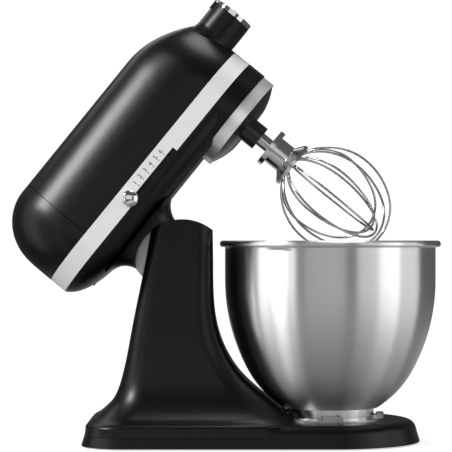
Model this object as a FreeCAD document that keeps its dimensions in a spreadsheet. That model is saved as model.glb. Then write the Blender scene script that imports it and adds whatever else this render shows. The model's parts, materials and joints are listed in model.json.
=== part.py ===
import FreeCAD, Part

import math
import os
import re
from types import SimpleNamespace

import Sketcher

# A tilt-head stand mixer with its head raised, a wire whisk on the beater shaft and a steel bowl on the base.
# Lengths are in millimetres. +X points to the nose, +Z up, and the bowl's axis is the Z axis.
# The head is modelled level, as when mixing, and every piece of it is then turned up about the hinge pin.

SIZES = {
    # Hinge and pose
    "pivot_x": -129.0, "pivot_z": 154.0, "tilt": 51.0, "pin_radius": 6.0, "pin_reach": 34.0,
    "running_gap": 0.05, "fit_gap": 0.02, "part_gap": 0.4,
    # Foot of the base
    "foot_half": 78.5, "foot_rear": -215.5, "foot_corner": 36.0, "foot_lift": 1.2, "foot_top": 20.0,
    "foot_draft": 16.0, "foot_round": 9.0, "foot_wall": 10.0, "foot_skin": 7.0, "foot_pad_radius": 10.0,
    "foot_pad_sink": 2.0, "foot_pad_inset": 18.0, "foot_boss": 2.5,
    # Column of the base
    "column_half": 41.0, "column_round": 40.7, "slot_half": 20.0, "slot_front": 19.0, "slot_swing": 34.0,
    "slot_sill": 14.0, "column_wall": 7.0,
    # Bowl and its twist lock
    "bowl_radius": 92.4, "rim_roll": 2.9, "bowl_top": 176.4, "bowl_bend_z": 142.0, "bowl_wall": 1.2,
    "bowl_knuckle_radius": 73.0, "bowl_knuckle_z": 64.2, "bowl_side_arc": 165.7, "bowl_base_arc": 89.5,
    "bowl_base_radius": 42.0, "bowl_base_z": 30.5, "ring_radius": 38.3, "ring_wall": 1.6,
    "plate_radius": 47.0, "plate_top": 21.6, "plate_sink": 1.0, "seat_rise": 10.0, "stop_start": 4.0,
    "stop_end": 1.0, "lug_reach": 44.6, "lug_thick": 1.9, "lug_half_angle": 11.0, "hook_lip": 41.6,
    "hook_wall": 1.6, "hook_thick": 1.6, "lugs": 4, "screw_circle": 24.0, "screw_radius": 2.0,
    "screw_length": 9.0, "screw_head": 4.0, "head_height": 1.4,
    # Head shells
    "head_half": 54.5, "head_rear": -211.0, "head_corner": 46.0, "head_top": 305.0, "nose_radius": 45.6,
    "band_bottom": 220.0, "band_top": 236.0, "band_thick": 1.5, "shell_wall": 3.0, "seam_x": -158.0,
    "seam_gap": 0.5, "cover_screw_rise": 11.0, "cover_screw_length": 12.0, "cover_screw_sink": 2.1,
    "crown_front": -20.0, "crown_drop": 29.0, "crown_rear_run": 44.0, "crown_rear_fall": 47.0,
    "nose_bottom": 203.4, "floor_z": 206.0, "deck_z": 217.0, "deck_thick": 4.0, "chamber_wall": 5.0,
    # Motor bed in the lower housing
    "bed_rear": -170.0, "bed_front": -50.0, "bed_half": 40.0, "rib_thick": 6.0, "rib_half": 38.4,
    "rib_root": 1.0, "bearing_front": -62.0, "bearing_rear": -160.0, "bush_wall": 5.0, "bush_flange": 2.0,
    "shaft_step": 2.5,
    # Hinge tongue, its bolts and the cord gland
    "tongue_half": 19.7, "tongue_top": 48.0, "tongue_round": 17.0, "tongue_heel": 24.0,
    "tongue_step": 33.0, "tongue_waist": 27.6, "tongue_waist_z": 30.0, "tongue_back": 29.4,
    "tongue_back_z": 21.0, "tongue_toe": 32.6, "tongue_toe_z": 2.0, "tongue_gap": 0.1, "bolt_radius": 3.0,
    "bolt_head": 5.0, "bolt_head_height": 3.0, "bolt_length": 15.0, "bolt_hole": 16.0, "bolt_rear": 15.0,
    "bolt_front": 12.0, "bolt_half": 11.0, "gland_inset": 25.0, "gland_radius": 6.0, "gland_bore": 3.0,
    "gland_flange": 8.5, "gland_drop": 13.0, "gland_rim": 3.0,
    # Attachment hub on the nose
    "hub_z": 259.3, "hub_radius": 19.0, "hub_front": 67.5, "sleeve_radius": 16.8, "socket_radius": 15.0,
    "coupler_radius": 9.0, "coupler_length": 7.0, "coupler_gap": 3.0, "coupler_floor": 2.0,
    "drive_half": 4.5, "sleeve_rear": 38.0, "cap_thick": 4.0, "cap_pin_radius": 1.2, "cap_pin_rise": 17.2,
    "cap_half": 7.2, "cap_gap": 0.5, "cap_play": 0.2, "cap_ridge": 2.2, "ear_width": 3.0, "ear_gap": 0.3,
    "ear_root": 6.0, "hub_root": 30.0, "hub_shaft": 5.0, "flare_front": 52.0, "flare_run": 18.0,
    "flare_rise": 8.4, "flare_sink": 0.3, "thumb_x": 52.0, "thumb_radius": 8.5, "thumb_length": 12.0,
    "thumb_stem": 3.0, "thumb_boss": 6.5, "thumb_boss_rise": 4.5, "thumb_groove": 1.1,
    "thumb_grooves": 12,
    # Drive train
    "module": 1.25, "motor_z": 240.0, "pinion_teeth": 16, "ring_teeth": 50, "beater_angle": -92.0,
    "centre_teeth": 40, "layshaft_teeth": 16, "wheel_teeth": 20, "worm_radius": 6.0, "wheel_width": 7.0,
    "bevel_teeth": 32, "hub_teeth": 16, "bevel_width": 7.0, "backlash": 0.25, "thread_thick": 1.35,
    "worm_bore": 3.0, "gear_lift": 4.0, "ring_drop": 8.0, "ring_width": 6.0, "centre_width": 6.5,
    "layshaft_width": 8.0, "layshaft_over": 8.0, "web_hole": 4.0, "web_holes": 6, "bevel_hub": 5.0,
    "frame_lift": 8.5, "frame_thick": 2.5, "frame_leg": 4.0, "frame_front": 24.0,
    "frame_front_half": 29.0, "frame_rear": -51.0, "frame_rear_half": 38.0, "frame_notch": 6.0,
    "frame_gap": 0.2, "shaft_radius": 6.0, "layshaft_radius": 4.0, "motor_shaft": 4.0,
    "core_radius": 17.0, "air_gap": 0.6, "stator_radius": 33.0, "stator_rear": -128.0,
    "stator_length": 38.0, "bearing_radius": 9.0, "bearing_width": 7.0, "core_inset": 2.0,
    "shaft_rear": -166.0, "shaft_neck": -54.0, "shaft_front": -19.0, "commutator_radius": 10.0,
    "commutator_rear": -146.0, "commutator_front": -134.0, "bars": 12, "bar_gap": 0.6, "bar_depth": 1.0,
    "fan_radius": 26.0, "fan_hub": 9.0, "fan_rear": -82.0, "fan_front": -72.0, "fan_disc": 2.0,
    "fan_blades": 9, "blade_thick": 1.4, "brush_rear": -143.0, "brush_front": -137.0, "brush_gap": 0.3,
    "brush_reach": 26.0, "brush_stand": 20.0, "brush_half": 4.0, "board_rear": -116.0,
    "board_front": -58.0, "board_side": 38.8, "board_thick": 1.6, "board_height": 17.0,
    # Planetary head and beater
    "drip_inset": 1.1, "drip_wall": 1.8, "drip_bottom": 192.2, "drip_top": 203.0, "dome_bottom": 184.5,
    "dome_half": 21.5, "dome_arc": 60.0, "carrier_wall": 2.4, "carrier_web": 4.0, "carrier_hub": 12.0,
    "boss_radius": 11.0, "boss_bottom": 171.6, "beater_bottom": 148.0, "whisk_disc_radius": 17.0,
    "whisk_disc_top": 161.2, "whisk_disc_thick": 4.5, "whisk_hub_radius": 12.5, "slit_reach": 10.0,
    "slit_half": 1.6, "slit_floor": 0.5, "cross_radius": 1.5, "cross_length": 19.0, "cross_rise": 2.2,
    "crown_top": 143.0, "crown_bottom": 134.0, "crown_radius": 20.5, "crown_edge": 3.0,
    "wire_radius": 0.95, "wire_loops": 6, "wire_root": 15.5, "whisk_radius": 43.2, "whisk_belt_z": 88.5,
    "whisk_side_arc": 60.0, "whisk_turn": 35.0, "wire_step": 2.4,
    # Speed lever and head lock
    "knob_radius": 7.0, "knob_depth": 8.0, "speed_x": -112.0, "speed_travel": 48.0, "lock_x": -140.0,
    "lock_travel": 12.0, "notch_height": 4.5, "slot_rise": 1.2, "slot_height": 3.0, "stem_height": 2.2,
    "stem_length": 5.0, "stem_half": 2.0, "runner_length": 16.0, "runner_height": 9.0,
    "runner_thick": 2.0, "runner_drop": 2.0, "knob_stand": 0.6, "knob_drop": 2.0, "slot_end": 3.5,
    "slot_depth": 6.0, "notch_end": 5.5, "notch_lead": 4.0,
}

# Sizes that follow others by a named roll, inset or wall.
TIED = {
    "bowl_rim_radius": "bowl_radius - bowl_wall + 2 * rim_roll",
    "drip_radius": "nose_radius - drip_inset",
    "chamber_radius": "nose_radius - chamber_wall",
}
CELLS = {**SIZES, **TIED}

doc = FreeCAD.newDocument("stand_mixer")
sheet = doc.addObject("Spreadsheet::Sheet", "Sizes")
for row, (name, size) in enumerate(CELLS.items(), 1):
    sheet.set("A%d" % row, name)
    sheet.set("B%d" % row, "=%s" % size)
    sheet.setAlias("B%d" % row, name)
doc.recompute()
s = SimpleNamespace(**{name: float(sheet.get(name)) for name in CELLS})

UP = FreeCAD.Vector(0, 0, 1)
ALONG = FreeCAD.Vector(1, 0, 0)
ACROSS = FreeCAD.Vector(0, 1, 0)
pieces = []


def vec(x, y, z=0.0):
    return FreeCAD.Vector(x, y, z)


def bound(text):
    """An expression in plain size names, with every name pointing at its cell."""
    return re.sub(r"[a-z]\w*", lambda m: "Sizes." + m.group() if m.group() in CELLS else m.group(), str(text))


def number(text):
    return float(sheet.evalExpression(bound(text)))


def new_body(label):
    body = doc.addObject("PartDesign::Body", label)
    body.Label = label
    pieces.append(body)
    return body


def feature(label, shape):
    """A piece whose shape is worked out here from the sheet's sizes."""
    piece = doc.addObject("Part::Feature", label)
    piece.Label = label
    piece.Shape = shape
    pieces.append(piece)
    return piece


def arc_middle(start, end, radius, side):
    """Centre of the arc of the given radius from start to end, on the left or right of the chord."""
    mid = (start + end) * 0.5
    chord = end - start
    rise = math.sqrt(max(radius ** 2 - (chord.Length / 2) ** 2, 0.0))
    left = vec(-chord.y, chord.x) * (1.0 / chord.Length)
    return mid + left * (rise if side == "left" else -rise)


def sketch(body, plane, path, lift=0):
    """Closed outline of lines and arcs through corners given as expressions, each bound to the sheet.

    A corner is (x, y), reached by a line, or (x, y, side, radius), reached by an arc centred on that side."""
    outline = body.newObject("Sketcher::SketchObject", body.Name + "_sketch")
    support = next(f for f in body.Origin.OriginFeatures if f.Role == plane)
    outline.AttachmentSupport = [(support, "")]
    outline.MapMode = "FlatFace"
    if lift:
        outline.setExpression("AttachmentOffset.Base.z", bound(lift))
    corners = [vec(number(c[0]), number(c[1])) for c in path]
    ends = []
    for index, corner in enumerate(path):
        start, end = corners[index - 1], corners[index]
        if len(corner) == 2:
            geometry = outline.addGeometry(Part.LineSegment(start, end))
            ends.append((geometry, 1, 2))
            continue
        radius = number(corner[3])
        middle = arc_middle(start, end, radius, corner[2])
        first, last = (start, end) if corner[2] == "left" else (end, start)
        turn_from = math.atan2(first.y - middle.y, first.x - middle.x)
        turn_to = math.atan2(last.y - middle.y, last.x - middle.x)
        circle = Part.Circle(middle, UP, radius)
        geometry = outline.addGeometry(Part.ArcOfCircle(circle, turn_from, turn_to))
        ends.append((geometry, 1, 2) if corner[2] == "left" else (geometry, 2, 1))
        cell = outline.addConstraint(Sketcher.Constraint("Radius", geometry, radius))
        outline.setExpression("Constraints[%d]" % cell, bound(corner[3]))
    for index, corner in enumerate(path):
        geometry, _, tail = ends[index]
        following, head, _ = ends[(index + 1) % len(path)]
        outline.addConstraint(Sketcher.Constraint("Coincident", geometry, tail, following, head))
        spot = corners[index]
        for kind, text, place in (("DistanceX", corner[0], spot.x), ("DistanceY", corner[1], spot.y)):
            cell = outline.addConstraint(Sketcher.Constraint(kind, -1, 1, geometry, tail, place))
            outline.setExpression("Constraints[%d]" % cell, bound(text))
    return outline


def turned(label, path):
    """A body turned about the Z axis from an outline of (radius, height) corners."""
    body = new_body(label)
    revolve(body, path)
    return body


def revolve(body, path, kind="Revolution"):
    outline = sketch(body, "XZ_Plane", path)
    turn = body.newObject("PartDesign::" + kind, body.Name + "_turn")
    turn.Profile = outline
    turn.ReferenceAxis = (outline, ["V_Axis"])
    turn.Angle = 360
    return turn


def extrude(body, plane, path, length, lift=0, cut=False, both=False, back=False):
    """Pad or pocket of an outline; both runs it the given length in all, centred on the plane."""
    outline = sketch(body, plane, path, lift)
    run = body.newObject("PartDesign::Pocket" if cut else "PartDesign::Pad", body.Name + "_run")
    run.Profile = outline
    run.setExpression("Length", bound(length))
    if both:
        run.SideType = "Symmetric"
    run.Reversed = back
    return run


def round_run(body, radius, depth, lift, x=0, y=0, cut=True):
    """Round pocket down from the given height, or round boss up from it."""
    outline = body.newObject("Sketcher::SketchObject", body.Name + "_ring")
    support = next(f for f in body.Origin.OriginFeatures if f.Role == "XY_Plane")
    outline.AttachmentSupport = [(support, "")]
    outline.MapMode = "FlatFace"
    outline.setExpression("AttachmentOffset.Base.z", bound(lift))
    outline.addGeometry(Part.Circle(vec(number(x), number(y)), UP, number(radius)))
    cells = [outline.addConstraint(Sketcher.Constraint("Radius", 0, number(radius))),
             outline.addConstraint(Sketcher.Constraint("DistanceX", -1, 1, 0, 3, number(x))),
             outline.addConstraint(Sketcher.Constraint("DistanceY", -1, 1, 0, 3, number(y)))]
    for cell, text in zip(cells, (radius, x, y)):
        outline.setExpression("Constraints[%d]" % cell, bound(text))
    run = body.newObject("PartDesign::Pocket" if cut else "PartDesign::Pad", body.Name + "_round")
    run.Profile = outline
    run.setExpression("Length", bound(depth))
    return run


def rounded(rear, front, half, corner):
    """Corners of a rounded rectangle, anticlockwise, for a level sketch."""
    return [(f"{rear} + {corner}", f"-({half})"), (f"{front} - {corner}", f"-({half})"),
            (front, f"-({half}) + {corner}", "left", corner), (front, f"({half}) - {corner}"),
            (f"{front} - {corner}", half, "left", corner), (f"{rear} + {corner}", half),
            (rear, f"({half}) - {corner}", "left", corner), (rear, f"-({half}) + {corner}"),
            (f"{rear} + {corner}", f"-({half})", "left", corner)][1:]


def loft(body, sections, kind="AdditiveLoft"):
    """Loft through level sketches given as (height, corners)."""
    sketches = [sketch(body, "XY_Plane", path, lift) for lift, path in sections]
    skin = body.newObject("PartDesign::" + kind, body.Name + "_loft")
    skin.Profile = sketches[0]
    skin.Sections = sketches[1:]
    return skin


def edges_where(shape, test):
    return ["Edge%d" % n for n, edge in enumerate(shape.Edges, 1) if test(edge)]


def turned_head(piece):
    """Turn a piece of the level head up about the hinge pin, as the head stands at rest."""
    lift = FreeCAD.Placement(vec(0, 0, 0), FreeCAD.Rotation(ACROSS, -s.tilt), vec(s.pivot_x, 0, s.pivot_z))
    piece.Placement = lift.multiply(piece.Placement)
    return piece


# Base casting: a drafted foot with a round front under the bowl, and a column that flares into it

def foot_outline(inset):
    half = f"foot_half - {inset}"
    corner = f"foot_corner - {inset}"
    rear = f"foot_rear + {inset}"
    return [("0", f"-({half})"), (half, "0", "left", half), ("0", half, "left", half),
            ("foot_rear + foot_corner", half), (rear, f"foot_half - foot_corner", "left", corner),
            (rear, f"foot_corner - foot_half"), ("foot_rear + foot_corner", f"-({half})", "left", corner)]


COLUMN = [  # share of the rise to the hinge, then rear, front and half width from it, and corner radius
    (0.0, 80.5, 105.0, 33.0, 32.0), (0.052, 72.5, 91.0, 23.0, 30.0), (0.126, 62.5, 78.0, 15.0, 27.0),
    (0.23, 55.0, 61.0, 9.0, 24.0), (0.385, 49.5, 43.0, 5.0, 21.0), (0.6, 44.0, 30.5, 2.5, 18.0),
    (0.822, 38.0, 26.5, 1.0, 15.0), (1.081, 31.0, 26.0, 0.0, 13.0), (1.326, 24.5, 26.0, 0.0, 12.0)]

base = new_body("base_casting")
foot = extrude(base, "XY_Plane", foot_outline("0"), "foot_top - foot_lift", "foot_lift")
foot.setExpression("TaperAngle", bound("-foot_draft"))
doc.recompute()
crest = edges_where(foot.Shape, lambda e: e.BoundBox.ZMin > s.foot_top - 0.01)
rounding = base.newObject("PartDesign::Fillet", "foot_rounding")
rounding.Base = (foot, crest)
rounding.setExpression("Radius", bound("foot_round"))
column_foot = "(foot_top - 1)"


def column_section(share, rear, front, flare, corner, wall="0"):
    return (f"{column_foot} + {share} * (pivot_z - {column_foot})",
            rounded(f"pivot_x - {rear} + {wall}", f"pivot_x + {front} - {wall}", f"column_half + {flare} - {wall}",
                    f"({corner} - {wall})"))


loft(base, [column_section(*row) for row in COLUMN])
crown_z = "pivot_z + column_round"
extrude(base, "XZ_Plane", [
    ("pivot_x - column_round", "pivot_z"), ("pivot_x", crown_z, "right", "column_round"),
    ("pivot_x + column_round", "pivot_z", "right", "column_round"),
    ("pivot_x + 2 * column_round", "pivot_z"), ("pivot_x + 2 * column_round", "pivot_z + 2 * column_round"),
    ("pivot_x - 2 * column_round", "pivot_z + 2 * column_round"), ("pivot_x - 2 * column_round", "pivot_z")],
    "4 * column_half", cut=True, both=True)
slot_floor = "pivot_z - sqrt(slot_swing ^ 2 - slot_front ^ 2)"
extrude(base, "XZ_Plane", [
    ("pivot_x + slot_front", "pivot_z + 2 * column_round"),
    ("pivot_x - 2 * column_round", "pivot_z + 2 * column_round"),
    ("pivot_x - 2 * column_round", "pivot_z - slot_sill"),
    ("pivot_x - sqrt(slot_swing ^ 2 - slot_sill ^ 2)", "pivot_z - slot_sill"),
    ("pivot_x", "pivot_z - slot_swing", "left", "slot_swing"),
    ("pivot_x + slot_front", slot_floor, "left", "slot_swing")],
    "2 * slot_half", cut=True, both=True)
foot_depth = "foot_top - foot_lift - foot_skin"
extrude(base, "XY_Plane", foot_outline("foot_wall"), foot_depth, "foot_lift", cut=True, back=True)
HOLLOW = [(-0.06,) + COLUMN[0][1:]] + COLUMN[1:6]
loft(base, [column_section(*row, wall="column_wall") for row in HOLLOW], "SubtractiveLoft")
round_run(base, "plate_radius + part_gap", "plate_sink + seat_rise", "foot_top + seat_rise")


def pin_bore(body, radius, start, end):
    """Bore along Y at the hinge axis, from one Y to another."""
    outline = body.newObject("Sketcher::SketchObject", body.Name + "_bore")
    support = next(f for f in body.Origin.OriginFeatures if f.Role == "XZ_Plane")
    outline.AttachmentSupport = [(support, "")]
    outline.MapMode = "FlatFace"
    outline.setExpression("AttachmentOffset.Base.z", bound(f"-({end})"))
    outline.addGeometry(Part.Circle(vec(s.pivot_x, s.pivot_z), UP, number(radius)))
    cells = [outline.addConstraint(Sketcher.Constraint("Radius", 0, number(radius))),
             outline.addConstraint(Sketcher.Constraint("DistanceX", -1, 1, 0, 3, s.pivot_x)),
             outline.addConstraint(Sketcher.Constraint("DistanceY", -1, 1, 0, 3, s.pivot_z))]
    for cell, text in zip(cells, (radius, "pivot_x", "pivot_z")):
        outline.setExpression("Constraints[%d]" % cell, bound(text))
    cut = body.newObject("PartDesign::Pocket", body.Name + "_bored")
    cut.Profile = outline
    cut.setExpression("Length", bound(f"({end}) - ({start})"))
    cut.Reversed = True
    return cut


pin_bore(base, "pin_radius + fit_gap", "-pin_reach - fit_gap", "2 * column_half")
rear_step = "0.7071 * (foot_corner - foot_pad_inset)"
front_step = "0.7071 * (foot_half - foot_pad_inset)"
FOOT_PADS = [("0", "0"), (front_step, front_step), (front_step, f"-{front_step}"),
             (f"foot_rear + foot_corner - {rear_step}", f"foot_half - foot_corner + {rear_step}"),
             (f"foot_rear + foot_corner - {rear_step}", f"foot_corner - foot_half - {rear_step}")]
for x, y in FOOT_PADS:
    round_run(base, "foot_pad_radius + foot_boss", foot_depth, "foot_lift", x, y, cut=False)
for x, y in FOOT_PADS:
    round_run(base, "foot_pad_radius + fit_gap", "foot_pad_sink", "foot_lift + foot_pad_sink", x, y)
SCREWS = [(f"screw_circle * cos({turn})", f"screw_circle * sin({turn})") for turn in (45, 135, 225, 315)]
for x, y in SCREWS:
    round_run(base, "screw_radius + fit_gap", "foot_skin", "foot_top - plate_sink", x, y)


# Rubber feet, hinge pin and the plate that holds the bowl

def rod(name, radius, length, x, y, z, axis=UP):
    """Round bar bound to the sheet, standing at a point."""
    bar = doc.addObject("Part::Cylinder", name)
    bar.setExpression("Radius", bound(radius))
    bar.setExpression("Height", bound(length))
    turn = FreeCAD.Rotation(UP, axis)
    bar.Placement = FreeCAD.Placement(vec(number(x), number(y), number(z)), turn)
    return bar


def group(label, bars):
    piece = doc.addObject("Part::Compound", label)
    piece.Label = label
    piece.Links = bars
    pieces.append(piece)
    return piece


pads = [rod("foot_pad", "foot_pad_radius", "foot_lift + foot_pad_sink", x, y, 0) for x, y in FOOT_PADS]
group("rubber_feet", pads)
pin_length = "pin_reach + column_half - 1"
hinge_pin = rod("hinge_pin", "pin_radius", pin_length, "pivot_x", "-pin_reach", "pivot_z", ACROSS)
pieces.append(hinge_pin)


def sector(inner, outer, start, end):
    """Corners of a ring sector between two angles."""
    return [(f"({outer}) * cos({start})", f"({outer}) * sin({start})"),
            (f"({outer}) * cos({end})", f"({outer}) * sin({end})", "left", outer),
            (f"({inner}) * cos({end})", f"({inner}) * sin({end})"),
            (f"({inner}) * cos({start})", f"({inner}) * sin({start})", "right", inner)]


def around(body, items, count):
    """Repeat features of a body about the Z axis."""
    pattern = body.newObject("PartDesign::PolarPattern", body.Name + "_around")
    pattern.Originals = items
    pattern.Axis = (items[0].Profile[0], ["N_Axis"])
    pattern.Angle = 360
    pattern.setExpression("Occurrences", bound(count))
    body.Tip = pattern
    return pattern


plate_bed = "foot_top - plate_sink"
hook_z = "plate_top + lug_thick + part_gap"
plate = turned("bowl_clamp_plate", [("0", plate_bed), ("plate_radius", plate_bed), ("plate_radius", "plate_top"),
                                    ("0", "plate_top")])
hook_rise = f"{hook_z} - plate_top + hook_thick"
hook_out = "plate_radius - hook_wall / 2"
post_outline = sector("plate_radius - hook_wall", "plate_radius", "-lug_half_angle", "lug_half_angle")
lip_outline = sector("hook_lip", hook_out, "-lug_half_angle", "lug_half_angle")
stop_outline = sector("hook_lip", hook_out, "-lug_half_angle - stop_start", "-lug_half_angle - stop_end")
post = extrude(plate, "XY_Plane", post_outline, hook_rise, "plate_top")
lip = extrude(plate, "XY_Plane", lip_outline, "hook_thick", hook_z)
stop = extrude(plate, "XY_Plane", stop_outline, hook_rise, "plate_top")
around(plate, [post, lip, stop], "lugs")
for x, y in SCREWS:
    round_run(plate, "screw_head + fit_gap", "head_height", "plate_top", x, y)
    round_run(plate, "screw_radius + fit_gap", f"plate_top - ({plate_bed})", "plate_top", x, y)

screw_parts = []
for x, y in SCREWS:
    shank = "screw_length - head_height"
    screw_parts.append(rod("screw_shank", "screw_radius", shank, x, y, "plate_top - screw_length"))
    screw_parts.append(rod("screw_top", "screw_head", "head_height", x, y, "plate_top - head_height"))
screws = doc.addObject("Part::MultiFuse", "clamp_screws")
screws.Label = "clamp_screws"
screws.Shapes = screw_parts
pieces.append(screws)

# Bowl: spun shell with a rolled rim, and the foot ring with lugs under it

roll_r = "(bowl_rim_radius - rim_roll)"
roll_z = "(bowl_top - rim_roll)"
side_lean = "(bowl_knuckle_radius - bowl_radius + bowl_side_arc) / bowl_side_arc"
knuckle_in = f"bowl_knuckle_radius - bowl_wall * {side_lean}"
knuckle_up = "bowl_knuckle_z + bowl_wall * (bowl_bend_z - bowl_knuckle_z) / bowl_side_arc"
bowl = turned("bowl", [
    ("0", "bowl_base_z"), ("bowl_base_radius", "bowl_base_z"),
    ("bowl_knuckle_radius", "bowl_knuckle_z", "left", "bowl_base_arc"),
    ("bowl_radius", "bowl_bend_z", "left", "bowl_side_arc"),
    ("bowl_radius", f"{roll_z} - sqrt(rim_roll ^ 2 - (rim_roll - bowl_wall) ^ 2)"),
    ("bowl_rim_radius", roll_z, "left", "rim_roll"), (roll_r, "bowl_top", "left", "rim_roll"),
    ("bowl_radius - bowl_wall", roll_z, "left", "rim_roll"), ("bowl_radius - bowl_wall", "bowl_bend_z"),
    (knuckle_in, knuckle_up, "right", "bowl_side_arc - bowl_wall"),
    ("bowl_base_radius - bowl_wall / 2", "bowl_base_z + bowl_wall", "right", "bowl_base_arc - bowl_wall"),
    ("0", "bowl_base_z + bowl_wall")])
bowl_foot = turned("bowl_foot", [("ring_radius - ring_wall", "plate_top"), ("ring_radius", "plate_top"),
                                 ("ring_radius", "bowl_base_z"), ("ring_radius - ring_wall", "bowl_base_z")])
lug_outline = sector("ring_radius - ring_wall / 2", "lug_reach", "-lug_half_angle", "lug_half_angle")
lug = extrude(bowl_foot, "XY_Plane", lug_outline, "lug_thick", "plate_top")
around(bowl_foot, [lug], "lugs")

# Shapes of the head: a plan with a round nose and rounded rear, and half-ellipse arches above the band

SHOULDER = s.head_rear + s.head_corner
FLAT = s.head_half - s.head_corner


def plan_half(x):
    if x >= 0:
        return math.sqrt(max(s.nose_radius ** 2 - x ** 2, 0.0))
    if x >= SHOULDER:
        return s.nose_radius + (s.head_half - s.nose_radius) * x / SHOULDER
    return FLAT + math.sqrt(max(s.head_corner ** 2 - (SHOULDER - x) ** 2, 0.0))


def crown(x):
    height = s.head_top - s.band_top
    start = s.head_rear + s.crown_rear_run
    if x > s.crown_front:
        return height - s.crown_drop * ((x - s.crown_front) / (s.nose_radius - s.crown_front)) ** 2
    if x < start:
        run = (start - x) / s.crown_rear_run
        return height - s.crown_rear_fall * (1 - math.sqrt(max(1 - run ** 2, 0.0)))
    return height


def arch(x, wall):
    """Half-ellipse section of the head above the band at one station."""
    scale = FreeCAD.Matrix()
    scale.scale(1, plan_half(x) - wall, crown(x) - wall)
    bow = Part.Arc(vec(0, 1, 0), vec(0, 0, 1), vec(0, -1, 0)).toShape().transformGeometry(scale)
    bow.translate(vec(x, 0, s.band_top))
    ends = [v.Point for v in bow.Vertexes]
    return Part.Wire([bow, Part.makeLine(ends[1], ends[0])])


def plan(z, inset=0.0, rear=0.0):
    """Outline of the head at one height, drawn in by an inset and further at the rear."""
    nose = s.nose_radius - inset
    half = s.head_half - inset
    corner = s.head_corner - inset
    shoulder = SHOULDER + max(rear - inset, 0.0)
    slant = corner * math.sqrt(0.5)
    back = shoulder - corner
    edges = [Part.Arc(vec(0, -nose, z), vec(nose, 0, z), vec(0, nose, z)).toShape(),
             Part.makeLine(vec(0, nose, z), vec(shoulder, half, z)),
             Part.Arc(vec(shoulder, half, z), vec(shoulder - slant, FLAT + slant, z), vec(back, FLAT, z)).toShape(),
             Part.makeLine(vec(back, FLAT, z), vec(back, -FLAT, z)),
             Part.Arc(vec(back, -FLAT, z), vec(shoulder - slant, -FLAT - slant, z), vec(shoulder, -half, z)).toShape(),
             Part.makeLine(vec(shoulder, -half, z), vec(0, -nose, z))]
    return Part.Wire(edges)


def slab(bottom, top, inset):
    return Part.Face(plan(bottom, inset)).extrude(vec(0, 0, top - bottom))


def block(x0, x1, y0, y1, z0, z1):
    return Part.makeBox(x1 - x0, y1 - y0, z1 - z0, vec(x0, y0, z0))


def drum(radius, length, x, y, z, axis=UP):
    return Part.makeCylinder(radius, length, vec(x, y, z), axis)


def head_piece(label, shape):
    return turned_head(feature(label, shape.removeSplitter()))


def head_turned(label, path, x=0, y=0, z=0, axis=UP):
    """Piece of the head turned about an axis through a point, from (radius, station) corners."""
    body = turned(label, path)
    body.Placement = FreeCAD.Placement(vec(number(x), number(y), number(z)), FreeCAD.Rotation(UP, axis))
    return turned_head(body)


# Upper housing with the attachment hub, and the rear cover

NOSE = [s.crown_front * share for share in (1.0, 0.86, 0.68, 0.46, 0.22)]
NOSE += [s.nose_radius * math.sin(math.radians(turn)) for turn in range(0, 90, 9)]
TAIL = [SHOULDER - s.head_corner * math.sin(math.radians(turn)) for turn in range(0, 91, 9)]


def skin(stations, wall):
    return Part.makeLoft([arch(x, wall) for x in stations], True)


def inner(stations):
    return [x for x in stations if s.head_rear + 2.5 * s.shell_wall < x < s.nose_radius - 3 * s.shell_wall]


def flare_ring(turn):
    """Circle of the hub's root, which grows upwards and sideways from the hub as a quarter ellipse."""
    rise = s.flare_rise * (1 - math.cos(math.radians(turn))) / 2
    radius = s.hub_radius + rise - s.flare_sink
    x = s.flare_front - s.flare_run * math.sin(math.radians(turn))
    return Part.Wire(Part.makeCircle(radius, vec(x, 0, s.hub_z + rise), ALONG))


pin_z = s.hub_z + s.cap_pin_rise
cap_x = s.hub_front + s.cap_gap
pin_x = cap_x + s.cap_thick / 2
knuckle = s.cap_thick / 2
ear_start = s.cap_half + s.ear_gap
upper = skin(NOSE, 0.0).fuse(skin([s.seam_x, s.crown_front], 0.0))
upper = upper.fuse(Part.makeLoft([flare_ring(turn) for turn in range(0, 76, 15)], True))
upper = upper.cut(skin(inner(NOSE), s.shell_wall)).cut(skin([s.seam_x, s.crown_front], s.shell_wall))
upper = upper.fuse(drum(s.hub_radius, s.hub_front - s.hub_root, s.hub_root, 0, s.hub_z, ALONG))
boss_top = s.hub_radius + s.thumb_boss_rise
boss_length = boss_top - s.socket_radius
upper = upper.fuse(drum(s.thumb_boss, boss_length, s.thumb_x, s.socket_radius, s.hub_z, ACROSS))
for near in (ear_start, -ear_start - s.ear_width):
    ear = drum(knuckle, s.ear_width, pin_x, near, pin_z, ACROSS)
    root = s.hub_front - s.ear_root
    ear = ear.fuse(block(root, pin_x, near, near + s.ear_width, pin_z - knuckle, pin_z + knuckle))
    upper = upper.fuse(ear)
pin_reach_y = ear_start + s.ear_width
upper = upper.cut(drum(s.cap_pin_radius + s.fit_gap, 2 * pin_reach_y, pin_x, -pin_reach_y, pin_z, ACROSS))
upper = upper.cut(drum(s.sleeve_radius + s.fit_gap, s.hub_front, s.sleeve_rear, 0, s.hub_z, ALONG))
upper = upper.cut(drum(s.hub_shaft + s.running_gap, s.sleeve_rear, 0, 0, s.hub_z, ALONG))
upper = upper.cut(drum(s.thumb_stem + s.running_gap, boss_top, s.thumb_x, s.socket_radius, s.hub_z, ACROSS))
head_piece("upper_housing", upper)

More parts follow.
